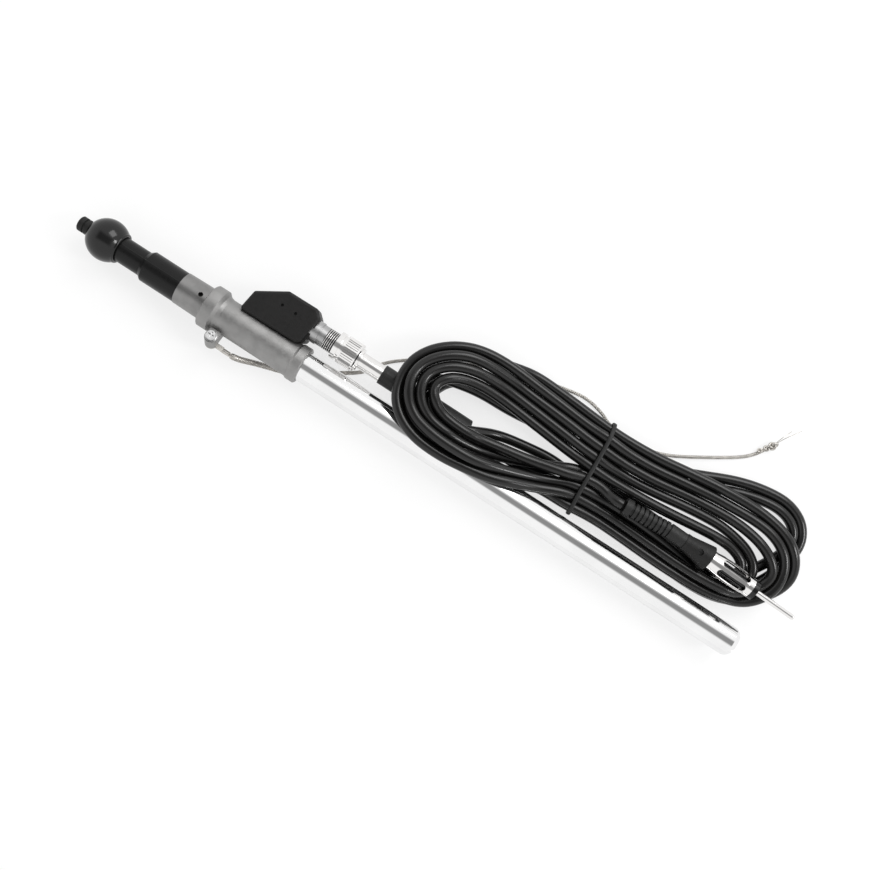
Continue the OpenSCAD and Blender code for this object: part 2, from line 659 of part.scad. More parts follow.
module plug_screw() color(steel) at_plug() difference() {
    translate([plug_screw_x, 0, plug_screw_z]) cylinder(h = 0.9, r = 1.7);
    translate([plug_screw_x - 2.5, -0.25, plug_screw_z + 0.6]) cube([5, 0.5, 1]);
}

// Barrel of spring leaves: a thin bulged shell with long slots
bulge_len = barrel_len - 5;
bulge_r = (pow(bulge_len / 2, 2) + pow(barrel_bulge, 2)) / (2 * barrel_bulge);
slot_len = 16.8;
slot_w = 4.0;
slot_start = barrel_start + 3.2;
barrel_wall = 0.5;
barrel_core_r = 3.4;
module bulged_bar(extra) intersection() {
    rotate([0, 90, 0]) rotate_extrude() difference() {
        translate([barrel_d / 2 + extra + barrel_bulge - bulge_r, barrel_start + 2.5 + bulge_len / 2])
            circle(r = bulge_r, $fn = 360);
        translate([-2 * bulge_r, barrel_start - bulge_r]) square([2 * bulge_r, 3 * bulge_r + bulge_len]);
    }
    bar(barrel_start + 2, barrel_start + barrel_len - 2, barrel_d);
}
module plug_barrel() color(chrome) at_plug() difference() {
    union() {
        bar(barrel_start, grip_start + grip_room_len - 0.2, barrel_d / 2);
        bulged_bar(0);
    }
    bar(barrel_start - 1, grip_start + grip_room_len, barrel_d / 2 - barrel_wall);
    bulged_bar(-barrel_wall);
    for (k = [0:barrel_slots - 1]) rotate([360 * (k + 0.5) / barrel_slots, 0, 0]) {
        for (x = [slot_w / 2, slot_len - slot_w / 2])
            translate([slot_start + x, 0, 0]) cylinder(h = barrel_d, d = slot_w);
        translate([slot_start + slot_w / 2, -slot_w / 2, 0])
            cube([slot_len - slot_w, slot_w, barrel_d]);
    }
}

module plug_insulator() color(gloss_black) at_plug() difference() {
    union() {
        bar(pin_len, barrel_start - tiny, barrel_d / 2);
        bar(barrel_start - 1, grip_start + 4, barrel_core_r);
    }
    bar(pin_len - 1, grip_start + 5, pin_root_r + tiny);
}

module plug_pin() color(chrome) at_plug() {
    bar(pin_d / 2, pin_len - tiny, pin_d / 2);
    bar(pin_len - 1, grip_start + 3, pin_root_r);
    translate([pin_d / 2, 0, 0]) sphere(d = pin_d);
}

// The foot of the tube is rolled in over the plug, in tabs
module main_tube() color(chrome) difference() {
    union() {
        bar(tube_top, tube_end - crimp_len, tube_r);
        taper(tube_end - crimp_len, tube_end - crimp_len / 2, tube_r, tube_r - 0.5);
        taper(tube_end - crimp_len / 2, tube_end, tube_r - 0.5, tube_r - 1.6);
    }
    bar(tube_top - 1, tube_end - crimp_len, tube_in_r);
    taper(tube_end - crimp_len - eps, tube_end + eps, tube_in_r, tube_in_r - 1.6);
    for (turn = [0:90:270]) rotate([turn + 30, 0, 0])
        translate([tube_end - crimp_len / 2, -1, tube_in_r - 2.5]) cube([crimp_len, 2, 5]);
}

module guide_liner() color(white_plastic)
    pipe(tube_top, tube_end - crimp_len - foot_plug_len - tiny, tube_in_r - fit, liner_in_r);

module foot_plug() color(rubber_black) difference() {
    bar(tube_end - crimp_len - foot_plug_len, tube_end - crimp_len - tiny, tube_in_r - fit);
    bar(tube_end - 20, tube_end, 1.5);
}

module sliding_tube(mouth, end, d, next_d) difference() {
    bar(mouth, end, d / 2);
    bar(mouth + mouth_len, end + 1, d / 2 - section_wall);
    bar(mouth - 1, end, next_d / 2 + fit);
}
module foot_bush(end, d, room_r) pipe(end - foot_len, end, room_r - fit, d / 2 + eps);

module section_1() color(chrome) sliding_tube(section_1_mouth, section_1_end, section_1_d, section_2_d);
module section_1_foot() color(brass) foot_bush(section_1_end, section_1_d, liner_in_r);
module section_2() color(chrome) sliding_tube(section_2_mouth, section_2_end, section_2_d, section_3_d);
module section_2_foot() color(brass) foot_bush(section_2_end, section_2_d, section_1_d / 2 - section_wall);
module section_3() color(chrome) sliding_tube(section_3_mouth, section_3_end, section_3_d, rod_d);
module section_3_foot() color(brass) foot_bush(section_3_end, section_3_d, section_2_d / 2 - section_wall);
module tip_rod() color(chrome) bar(tip_base - rod_in_cap, rod_end, rod_d / 2);
module tip_rod_foot() color(brass) foot_bush(rod_end, rod_d, section_3_d / 2 - section_wall);

module mast_tip() color(rubber_black) difference() {
    union() {
        taper(tip_top, tip_top + 0.5, tip_d / 2 - 0.5, tip_d / 2);
        bar(tip_top + 0.5, tip_base, tip_d / 2);
    }
    pipe(tip_top + tip_groove_x, tip_top + tip_groove_x + 1, tip_d, tip_d / 2 - 0.5);
    bar(tip_top - 1, tip_top + key_depth, key_d / 2);
    bar(tip_base - rod_in_cap - tiny, tip_base + 1, rod_d / 2 + eps);
}

ball_cap();
wiper_seal();
neck();
head_sleeve();
cast_body();
ground_screw();
ground_washer();
ground_nut();
ground_lug();
ground_braid();
braid_knot();
contact_holder();
contact_ring();
feed_wire();
junction_box();
socket();
socket_insulator();
socket_contact();
coupling_nut();
cable_ferrule();
cable_pin();
cable_insulator();
cable_boot();
lead_start();
lead_hank();
lead_end();
hank_tie();
plug_relief();
plug_body();
plug_screw();
plug_barrel();
plug_insulator();
plug_pin();
main_tube();
guide_liner();
foot_plug();
section_1();
section_1_foot();
section_2();
section_2_foot();
section_3();
section_3_foot();
tip_rod();
tip_rod_foot();
mast_tip();
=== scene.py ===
import json
import math
import bpy
import bmesh
import numpy as np
from mathutils import Vector, Matrix


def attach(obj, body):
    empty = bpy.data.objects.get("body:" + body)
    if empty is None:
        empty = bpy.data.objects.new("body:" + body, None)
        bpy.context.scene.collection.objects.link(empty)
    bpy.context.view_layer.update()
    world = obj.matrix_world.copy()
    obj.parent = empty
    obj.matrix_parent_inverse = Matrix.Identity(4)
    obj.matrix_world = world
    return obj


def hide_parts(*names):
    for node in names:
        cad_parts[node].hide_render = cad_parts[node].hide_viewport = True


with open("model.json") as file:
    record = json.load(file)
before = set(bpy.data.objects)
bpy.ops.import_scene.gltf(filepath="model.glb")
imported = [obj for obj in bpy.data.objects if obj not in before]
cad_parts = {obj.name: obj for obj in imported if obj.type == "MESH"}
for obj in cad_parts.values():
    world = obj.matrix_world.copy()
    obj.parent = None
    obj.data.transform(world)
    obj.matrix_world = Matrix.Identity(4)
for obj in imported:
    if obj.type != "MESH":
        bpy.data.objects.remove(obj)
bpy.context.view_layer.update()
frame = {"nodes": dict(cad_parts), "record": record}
nodes = frame["nodes"]
mm = 0.001

# Camera

cameraPlace = {
    "x": 0.1357, "y": 0.0072, "height": 0.520, "turn": 32.85,
    "lens": 41.4, "sensor": 36, "near": 0.01,
}


def addCamera():
    data = bpy.data.cameras.new("photoCamera")
    data.lens = cameraPlace["lens"]
    data.sensor_width = cameraPlace["sensor"]
    data.clip_start = cameraPlace["near"]
    camera = bpy.data.objects.new("photoCamera", data)
    camera.location = (cameraPlace["x"], cameraPlace["y"], cameraPlace["height"])
    camera.rotation_euler = (0, 0, math.radians(cameraPlace["turn"]))
    bpy.context.scene.collection.objects.link(camera)
    bpy.context.scene.camera = camera


addCamera()
print("camera placed")

# The lead and its hank, in mm

lead = {
    "radius": 2.8,
    "floor": -9.05,  # height of a strand that lies on the ground
    "step": 2.0, "sides": 20,  # of the finished tube
}
settling = {
    "rounds": 260,
    "step": 2.5,  # distance between the points that are settled
    "lastShare": 0.7,  # nothing sinks any further after this share of the rounds
    "sink": 0.05,
    "pull": 0.06, "lastPull": 0.02, "pullUp": 0.01,  # share of the way back to the route below
    "waves": (0.5, -0.42, 0.5, -0.42),  # evens out small waves and keeps the folds' size
    "tightest": 9.0, "openings": 4, "opening": 0.9,  # a fold of a smaller radius than this is opened
    "gap": 0.12,  # between two strands
    "push": 0.3,  # share of an overlap that is taken away at a time
    "clear": 0.1,  # between the lead and what it lies on
    "heldStart": 40, "heldEnd": 14,  # lengths at the ends that stay as in the solid
    "apart": 14, "watch": 2.5, "every": 8,  # which points may touch, and how often that is worked out
}
boot = {"x": 97.2, "y": 18.85, "bend": 218, "angle": 13.5, "radius": 5.3}
tube = {"radius": 8.05, "end": 324.5}
plug = {
    "tip": (341.6, 28, 6.4), "yaw": -2.3, "pitch": 1.3,
    "bend": 6.0,  # how much further the ribbed strain relief turns
    "hinge": 78.1, "length": 104.1, "reliefRadius": 4.7,
    # (distance back from the tip, radius) as far as the ribs
    "outline": [(0, 1.5), (24.4, 1.5), (24.5, 5.3), (31, 5.4), (40, 6.1), (49, 5.4), (52.9, 5.3), (53.0, 7.0),
                (68.5, 4.7), (78.1, 4.4)],
}


def bootPoint(a):
    return (boot["x"] + boot["bend"] * math.sin(math.radians(a)), boot["y"],
            -boot["bend"] * (1 - math.cos(math.radians(a))))


bootEnd = bootPoint(boot["angle"])
bootSlope = math.radians(boot["angle"])


def beyondBoot(distance):
    x, y, z = bootEnd
    return (x + distance * math.cos(bootSlope), y, z - distance * math.sin(bootSlope))


leadExit = beyondBoot(0.12)

# The start of the lead, from the boot along the ground, as in the solid
leadStart = [leadExit, beyondBoot(6), (160, 17.8, -8.65), (168, 17.4, -9.05), (178, 17.4, -9.05)]

# The end of the lead, from under the tie up to the back of the plug, as in the solid
leadEnd = [(182, 22.2, 2.8), (197, 26.2, 1.9), (208, 29.0, 0.4), (215, 30.8, -2.6), (220.1, 31, -3.6),
           (222, 31, -3.5), (225.5, 30.6, -1.6), (229.3, 29.7, 1.6)]

# Each turn: along the lower side, round the right end, back along the upper side, round the left end
turns = [
    [(188, 18.8, -9.0), (198, 21, -9.0), (216, 22.4, -7.4), (240, 22, -9.0), (265, 21, -9.0),
     (290, 20, -9.0), (306, 21, -9.0), (318, 29, -9.0), (325, 41, -9.0), (328.5, 53, -9.0),
     (329, 64, -9.0), (325, 72.5, -8.5), (312, 78.2, -8.5), (297, 76.2, -9.0), (284, 72.2, -9.0),
     (265, 64.5, -9.0), (243, 56.5, -9.0), (216, 52, -7.4), (190, 49, -9.0), (165, 44.5, -9.0),
     (148, 42, -8.5), (136, 40, -4.0), (126, 35, 1.5), (121, 27, 5.6), (122, 18, 7.0), (131, 13, 5.6),
     (147, 17.2, 0.4), (159, 23.6, -5.0), (168, 26.4, -8.4)],
    [(178, 27.8, -9.0), (188, 29.4, -9.0), (198, 30.2, -9.0), (207, 29.8, -8.4), (216, 28.4, -7.4),
     (240, 27.6, -9.0), (265, 26.6, -9.0), (290, 25.8, -9.0), (304, 27, -9.0), (312, 33, -9.0),
     (318, 43, -8.5), (324, 54, -6.0), (326.3, 61, -5.0), (321.5, 69.5, -5.0), (311, 73.4, -5.5),
     (298, 72.4, -6.5), (283, 68.5, -9.0), (265, 59.5, -9.0), (243, 51, -9.0), (216, 46, -7.4),
     (190, 43, -9.0), (165, 40.5, -7.0), (148, 39.5, -4.0), (134, 37, 1.0), (121, 31.5, 5.0),
     (115.8, 22, 7.5), (119, 12, 9.0), (130, 6.5, 8.0), (146, 6.8, 4.5), (162, 9.5, -3.0)],
    [(178, 11.7, -8.0), (197, 14.5, -9.0), (216, 16.5, -7.4), (240, 17.5, -9.0), (265, 15.5, -9.0),
     (290, 14.0, -9.0), (306, 15.8, -8.8), (320, 22.5, -7.5), (331, 34, -5.0), (334.4, 46, -3.0),
     (329.5, 54.6, -1.5), (322, 61, -0.5), (313, 64.2, -1.0), (298.5, 65.6, -2.5), (285, 65.2, -3.4),
     (268, 63.4, -3.8), (245, 60.5, -4.0), (216, 59.2, -3.6), (190, 61, -6.0), (166, 61.5, -8.5),
     (146, 58.5, -8.5), (130, 52, -4.0), (117, 43, 2.0), (110.2, 31, 6.5), (109.5, 20, 8.0),
     (115, 10.5, 9.0), (127, 4.5, 6.5), (144, 3.5, 10.6), (160, 5.5, 9.0)],
    [(178, 9.5, 3.0), (197, 14.0, -3.6), (216, 15.8, -2.6), (240, 15.3, -3.4), (265, 14.3, -1.0),
     (290, 14.2, 0.6), (305, 16.0, -1.0), (318, 22.5, -3.0), (327, 32, -1.5), (328.8, 42, 0.0),
     (323.9, 53.4, 1.0), (316.3, 57.8, 1.2), (309.4, 60, 0.5), (298, 60.8, -1.5), (285, 59.9, -3.3),
     (265, 57.9, -3.7), (243, 54.8, -4.0), (216, 53.6, -3.0), (190, 56, -3.5), (166, 57.7, -3.5),
     (146, 58.8, 0.0), (128, 56, 3.5), (113, 46.5, 6.5), (104.5, 33, 8.3), (106, 19, 8.6),
     (115, 7.0, 10.0), (128, 2.4, 10.8), (146, 0.6, 10.9), (164, 2.5, 10.8)],
    [(180, 7.4, 8.6), (198, 14.0, 2.0), (216, 20.8, -2.5), (240, 21.0, -3.5), (265, 19.8, -0.5),
     (290, 19.8, 0.6), (303, 21, -1.0), (315, 25.5, -3.2), (323, 31, -2.0), (325.3, 38.5, 0.0),
     (323.4, 43.4, 2.0), (317.5, 48, 3.0), (309, 51.8, 2.5), (298, 53.8, 0.0), (284, 54.3, -3.0),
     (262, 52.2, -3.7), (243, 49.2, -4.0), (216, 48.0, -3.0), (190, 50.4, -3.5), (166, 52.2, -3.0),
     (148, 53, 2.0), (130, 51.5, 8.0), (116.5, 43.0, 11.0), (109, 32, 12.6), (110.5, 20.5, 13.0),
     (119, 10.5, 13.2), (132, 6.6, 12.5), (148, 6.0, 9.9), (165, 8.0, 9.0)],
    [(181, 12.5, 5.0), (198, 19.0, -0.5), (216, 26.4, -2.5), (240, 27.0, -4.0), (265, 25.5, -4.2),
     (288, 21.5, -4.2), (301, 20.5, -4.2), (311, 24.5, -4.0), (316, 31, -4.0), (315.5, 38.5, -2.5),
     (308.5, 44.2, -2.0), (297, 47.4, -2.4), (283, 48.9, -3.0), (262, 46.7, -3.6), (243, 43.5, -4.0),
     (216, 42.4, -3.0), (190, 44.8, -3.5), (166, 46.8, -3.0), (150, 47.5, 2.0), (134, 46.0, 8.0),
     (121.5, 40.5, 11.0), (114.5, 31.5, 12.4), (116, 22, 12.8), (124, 14, 12.0), (137, 10.8, 9.0),
     (151, 11.6, 4.5), (166, 14.5, 1.0)],
    [(181, 20.0, -3.0), (196, 26.5, -3.8), (205, 30.5, -3.2), (216, 34.5, -5.5), (228, 35.2, -8.4),
     (240, 34.2, -8.9), (260, 32.2, -8.4), (274, 30.0, -6.2), (286, 26.4, -4.2), (298, 24.4, -4.2),
     (307, 26.4, -3.8), (311, 33, -3.0), (306.5, 40.0, -1.5), (296, 42.4, -0.3), (282, 41.6, 0.3),
     (262, 39.3, 0.0), (243, 37.7, -1.5), (216, 36.8, -2.8), (190, 39.0, -3.5), (170, 41.0, -3.0),
     (154, 42, 1.0), (139, 41.5, 5.5), (127.5, 37.5, 8.3), (120.4, 31, 9.2), (121, 24, 9.8),
     (128.5, 18.4, 8.5), (141, 16.6, 6.0), (155, 17.6, 4.6), (168, 20.0, 4.2)],
]


# A smooth curve through the points, in perSpan steps from each point to the next
def smoothPath(points, perSpan):
    p = np.array([points[0], *points, points[-1]], float)
    out = []
    for i in range(1, len(p) - 2):
        a, b, c, d = p[i - 1:i + 3]
        for t in np.arange(perSpan) / perSpan:
            line = 2 * b + (c - a) * t
            out.append(0.5 * (line + (2 * a - 5 * b + 4 * c - d) * t * t + (3 * b - a - 3 * c + d) * t ** 3))
    return np.array(out + [p[-1]])


def distances(path):
    return np.concatenate([[0], np.cumsum(np.linalg.norm(np.diff(path, axis=0), axis=1))])


# The same path with its points at even steps
def evenPath(path, step):
    along = distances(path)
    places = np.linspace(0, along[-1], max(2, round(along[-1] / step)) + 1)
    return np.stack([np.interp(places, along, path[:, k]) for k in range(3)], axis=1)


def pathLength(path):
    return float(np.linalg.norm(np.diff(path, axis=0), axis=1).sum())


# A direction turned by yaw on the ground and raised by pitch, in degrees
def heading(yaw, pitch):
    yaw, pitch = math.radians(yaw), math.radians(pitch)
    return np.array([math.cos(pitch) * math.cos(yaw), math.cos(pitch) * math.sin(yaw), math.sin(pitch)])


plugWay = heading(plug["yaw"], plug["pitch"])
reliefWay = heading(plug["yaw"] + plug["bend"], plug["pitch"])
plugTip = np.array(plug["tip"], float)
plugHinge = plugTip - plug["hinge"] * plugWay
plugBack = plugHinge - (plug["length"] - plug["hinge"]) * reliefWay

# The earthing braid, as in the solid
ground = {
    "radius": 0.8, "height": -11.05,
    "start": (22.8, -15.789, -2.448),
    "route": [(35, -12.6, -10.15), (43, -10.2), (54, -6.6), (65, -0.4), (76, 7.7), (85.5, 14.8), (92, 24),
              (101, 32), (116, 42), (134, 50), (152, 57), (169, 62.4), (185, 66), (194, 66.8), (203.3, 65),
              (213, 61.6), (229, 61), (244, 64.6), (260, 73.4), (277, 84.4), (284, 91), (288, 97.6)],
    "knot": (289.2, 99.4, -9.65),
}
startX, startY, startZ = ground["start"]
braidPath = smoothPath(
    [(startX, startY, startZ), (startX + 2, startY, startZ), (startX + 4, startY, startZ - 0.2)]
    + [(p[0], p[1], p[2] if len(p) > 2 else ground["height"]) for p in ground["route"]], 6)


# Moves points that are nearer than keepOff to a line of points, straight away from it.
def pushOutOfLine(points, line, keepOff):
    for a, b in zip(line[:-1], line[1:]):
        d = b - a
        boxed = (points > np.minimum(a, b) - keepOff) & (points < np.maximum(a, b) + keepOff)
        near = np.where(np.all(boxed, axis=1))[0]
        if not len(near):
            continue
        t = np.clip((points[near] - a) @ d / (d @ d), 0, 1)
        off = points[near] - a - t[:, None] * d
        far = np.maximum(np.linalg.norm(off, axis=1), 1e-6)
        short = np.maximum(keepOff - far, 0)
        points[near] += off * (short / far)[:, None]


tie = {
    "x": 216.8, "turn": 4.4, "width": 2.2, "thick": 1.5,
    "lift": 2.6, "reach": 6,  # how far it raises the strands that it holds, and over what length
    "around": 160, "corners": 12, "squareness": 0.6, "sway": 0.4,
}


def tieDistance(points):
    turn = math.radians(tie["turn"])
    return (points[:, 0] - tie["x"]) * math.cos(turn) + points[:, 1] * math.sin(turn)


# Moves points out of the pin, barrel and body of the plug, whose radius changes along its axis.
def pushOutOfPlug(points):
    outline = np.array(plug["outline"])
    back = (plugTip - points) @ plugWay
    off = points - (plugTip - back[:, None] * plugWay)
    far = np.maximum(np.linalg.norm(off, axis=1), 1e-6)
    room = np.interp(back, outline[:, 0], outline[:, 1]) + lead["radius"] + settling["clear"]
    short = np.where((back > -2) & (back < plug["hinge"]), np.maximum(room - far, 0), 0)
    points += off * (short / far)[:, None]


def pushOutOfTube(points):
    keepOff = tube["radius"] + lead["radius"] + settling["clear"]
    side = np.hypot(points[:, 1], points[:, 2])
    inside = (points[:, 0] < tube["end"] + 2) & (side < keepOff)
    points[inside, 1:] *= (keepOff / np.maximum(side[inside], 1e-6))[:, None]


# The pairs of points, not near each other along the lead, that may touch soon.
def closePairs(x, reach):
    skip = int(settling["apart"] / settling["step"])
    rows, cols = [], []
    for i in range(len(x) - skip):
        near = np.where(((x[i + skip:] - x[i]) ** 2).sum(1) < (reach + settling["watch"]) ** 2)[0]
        rows.append(np.full(len(near), i))
        cols.append(near + i + skip)
    return np.concatenate(rows), np.concatenate(cols)


def partStrands(x, free, rows, cols, reach):
    off = x[rows] - x[cols]
    far = np.maximum(np.linalg.norm(off, axis=1), 1e-6)
    push = off * (np.maximum(reach - far, 0) / far * settling["push"])[:, None]
    total = np.zeros_like(x)
    np.add.at(total, rows, push)
    np.add.at(total, cols, -push)
    x[free] += total[free]


# Evens out the wound lead and opens the folds that are too tight.
def easeBends(x):
    for share in settling["waves"]:
        x[1:-1] += share * ((x[:-2] + x[2:]) / 2 - x[1:-1])
    slack = settling["step"] ** 2 / 2 / settling["tightest"]
    for _ in range(settling["openings"]):
        bend = (x[:-2] + x[2:]) / 2 - x[1:-1]
        size = np.maximum(np.linalg.norm(bend, axis=1), 1e-9)
        x[1:-1] += settling["opening"] * bend * (np.maximum(size - slack, 0) / size)[:, None]


# Lets the lead come to rest on the ground, the tube, the boot and the plug, with no strand inside another.
def settle(path):
    x, aim = path.copy(), path.copy()
    step, clear = settling["step"], settling["clear"]
    reach = 2 * lead["radius"] + settling["gap"]
    free = slice(int(settling["heldStart"] / step), len(x) - int(settling["heldEnd"] / step))
    bootLine = np.array([[66, boot["y"], 0]] + [bootPoint(boot["angle"] * k / 4) for k in range(5)])
    reliefLine = np.array([plugHinge, plugBack])
    for turn in range(settling["rounds"]):
        if turn % settling["every"] == 0:
            rows, cols = closePairs(x, reach)
        last = turn > settling["rounds"] * settling["lastShare"]
        move = x.copy()
        move[:, 2] -= 0 if last else settling["sink"]
        move[:, :2] += settling["lastPull" if last else "pull"] * (aim[:, :2] - x[:, :2])
        move[:, 2] += settling["pullUp"] * (aim[:, 2] - x[:, 2])
        easeBends(move)
        x[free] = move[free]
        for _ in range(2):
            partStrands(x, free, rows, cols, reach)
        part = x[free].copy()
        pushOutOfTube(part)
        pushOutOfLine(part, bootLine, boot["radius"] + lead["radius"] + clear)
        pushOutOfLine(part, braidPath[::3], ground["radius"] + lead["radius"])
        pushOutOfLine(part, reliefLine, plug["reliefRadius"] + lead["radius"] + clear)
        pushOutOfPlug(part)
        lift = tie["lift"] * np.exp(-(tieDistance(part) / tie["reach"]) ** 2)
        part[:, 2] = np.maximum(part[:, 2], lead["floor"] + lift)
        x[free] = part
    return x


def leadRoute():
    route = list(leadStart) + [point for turn in turns for point in turn] + leadEnd
    route += [tuple(plugBack - k * reliefWay) for k in (4, 2, 0)]
    return evenPath(smoothPath(route, 10), settling["step"])


leadPath = settle(leadRoute())
print("lead settled, length", round(pathLength(leadPath)), "mm")


# A closed mesh tube along a path in mm, with its length and girth in a UV map in metres.
def tubeMesh(name, path, radius, sides, width=None):
    path = np.asarray(path, float)
    count = len(path)
    way = np.gradient(path, axis=0)
    way /= np.linalg.norm(way, axis=1)[:, None]
    up = np.array([0, 0, 1.0])
    across = np.cross(up, way[0])
    across /= np.linalg.norm(across)
    rings = []
    radii = np.broadcast_to(np.asarray(radius, float), (count,))
    widths = np.ones(count) if width is None else np.broadcast_to(np.asarray(width, float), (count,))
    for i in range(count):
        across = across - way[i] * (across @ way[i])
        across /= np.linalg.norm(across)
        other = np.cross(way[i], across)
        turn = np.arange(sides) / sides * 2 * math.pi
        outward = np.cos(turn)[:, None] * across * widths[i] + np.sin(turn)[:, None] * other
        rings.append(path[i] + radii[i] * outward)
    points = np.concatenate(rings + [path[:1], path[-1:]]) * mm
    faces = []
    for i in range(count - 1):
        for k in range(sides):
            n = (k + 1) % sides
            faces.append((i * sides + k, i * sides + n, (i + 1) * sides + n, (i + 1) * sides + k))
    first, final = count * sides, count * sides + 1
    for k in range(sides):
        n = (k + 1) % sides
        faces.append((first, n, k))
        faces.append((final, (count - 1) * sides + k, (count - 1) * sides + n))
    mesh = bpy.data.meshes.new(name)
    mesh.from_pydata([tuple(p) for p in points], [], faces)
    along = distances(path) * mm
    uv = mesh.uv_layers.new(name="alongCord")
    for face in mesh.polygons:
        for corner in face.loop_indices:
            v = mesh.loops[corner].vertex_index
            ring, k = divmod(v, sides)
            ring = min(ring, count - 1)
            if k == 0 and any(mesh.loops[c].vertex_index % sides == sides - 1 for c in face.loop_indices):
                k = sides  # the last face of a ring ends where the girth does
            uv.data[corner].uv = (along[ring], k / sides * 2 * math.pi * float(radii[ring]) * mm)
    mesh.polygons.foreach_set("use_smooth", [True] * len(mesh.polygons))
    made = bpy.data.objects.new(name, mesh)
    bpy.context.scene.collection.objects.link(made)
    return made


# Finishes

def nodeTree(material):
    material.use_nodes = True
    tree = material.node_tree
    tree.nodes.clear()
    out = tree.nodes.new("ShaderNodeOutputMaterial")
    shader = tree.nodes.new("ShaderNodeBsdfPrincipled")
    tree.links.new(shader.outputs[0], out.inputs["Surface"])
    place = tree.nodes.new("ShaderNodeTexCoord")
    return tree, shader, place


def addMath(tree, kind, *values, clamp=False):
    node = tree.nodes.new("ShaderNodeMath")
    node.operation = kind
    node.use_clamp = clamp
    for socket, value in zip(node.inputs, values):
        if isinstance(value, (int, float)):
            socket.default_value = value
        else:
            tree.links.new(value, socket)
    return node.outputs[0]


# Moves a value from one range to another, with an S-shaped change where smooth is set
def addRange(tree, value, old, new, smooth=False):
    change = tree.nodes.new("ShaderNodeMapRange")
    if smooth:
        change.interpolation_type = "SMOOTHSTEP"
    for name, number in zip(("From Min", "From Max", "To Min", "To Max"), (*old, *new)):
        change.inputs[name].default_value = number
    tree.links.new(value, change.inputs["Value"])
    return change.outputs[0]


def addNoise(tree, vector, scale, detail=3.0, rough=0.55, stretch=None):
    noise = tree.nodes.new("ShaderNodeTexNoise")
    noise.inputs["Scale"].default_value = scale
    noise.inputs["Detail"].default_value = detail
    noise.inputs["Roughness"].default_value = rough
    if stretch:
        mapping = tree.nodes.new("ShaderNodeMapping")
        mapping.inputs["Scale"].default_value = stretch
        tree.links.new(vector, mapping.inputs["Vector"])
        vector = mapping.outputs[0]
    tree.links.new(vector, noise.inputs["Vector"])
    return noise.outputs["Fac"]


# Spreads a noise, which is mostly between 0.3 and 0.7, from low to high
def spread(tree, noise, low, high):
    return addRange(tree, noise, (0.3, 0.7), (low, high))


def addRelief(tree, height, depth, normal):
    bump = tree.nodes.new("ShaderNodeBump")
    bump.inputs["Strength"].default_value = 1.0
    bump.inputs["Distance"].default_value = depth * mm
    tree.links.new(height, bump.inputs["Height"])
    if normal:
        tree.links.new(normal, bump.inputs["Normal"])
    return bump.outputs[0]


# 1 within width of a plane across the axis, falling to 0 over the soft distance, all in mm
def bandShare(tree, vector, axis, middle, width, soft):
    split = tree.nodes.new("ShaderNodeSeparateXYZ")
    tree.links.new(vector, split.inputs[0])
    far = addMath(tree, "ABSOLUTE", addMath(tree, "SUBTRACT", split.outputs[axis], middle * mm))
    return addRange(tree, far, (width * mm, (width + soft) * mm), (1.0, 0.0), smooth=True)


def mixColor(tree, share, first, second):
    mix = tree.nodes.new("ShaderNodeMix")
    mix.data_type = "RGBA"
    for socket, value in ((mix.inputs[6], first), (mix.inputs[7], second)):
        if isinstance(value, (tuple, list)):
            socket.default_value = (*value, 1)
        else:
            tree.links.new(value, socket)
    tree.links.new(share, mix.inputs[0])
    return mix.outputs[2]


# One finish: a base tone with slight patches, uneven gloss, a fine relief where grain = (scale, depth in mm),
# a mould line where seam = (y, width, height in mm), and painted shade in the thread roots, over a band given
# as (x, half length in mm)
def addFinish(name, color, metal=0.0, rough=(0.3, 0.4), tone=0.12, toneScale=60, grain=None, stretch=None,
              seam=None, rootShade=None, shine=0.5):
    material = bpy.data.materials.new(name)
    tree, shader, place = nodeTree(material)
    vector = place.outputs["Object"]
    patches = addNoise(tree, vector, toneScale, 4.0)
    dark = [c * (1 - tone) for c in color]
    light = [min(1, c * (1 + tone)) for c in color]
    shade = mixColor(tree, spread(tree, patches, 0, 1), dark, light)
    if rootShade:
        # Painted shade: the metal under the thread ridges is darkened to 8 % of its tone to stand for the
        # shade between the ridges
        paintedRootShade = [c * 0.08 for c in color]
        shade = mixColor(tree, bandShare(tree, vector, "X", rootShade[0], rootShade[1], 0.1), shade, paintedRootShade)
    tree.links.new(shade, shader.inputs["Base Color"])
    gloss = addNoise(tree, vector, toneScale * 4, 3.0, stretch=stretch)
    tree.links.new(spread(tree, gloss, *rough), shader.inputs["Roughness"])
    shader.inputs["Metallic"].default_value = metal
    shader.inputs["Specular IOR Level"].default_value = shine
    normal = None
    if grain:
        normal = addRelief(tree, addNoise(tree, vector, grain[0], 5.0, 0.6, stretch), grain[1], normal)
    if seam:
        normal = addRelief(tree, bandShare(tree, vector, "Y", seam[0], 0, seam[1]), seam[2], normal)
    if normal:
        tree.links.new(normal, shader.inputs["Normal"])
    return material


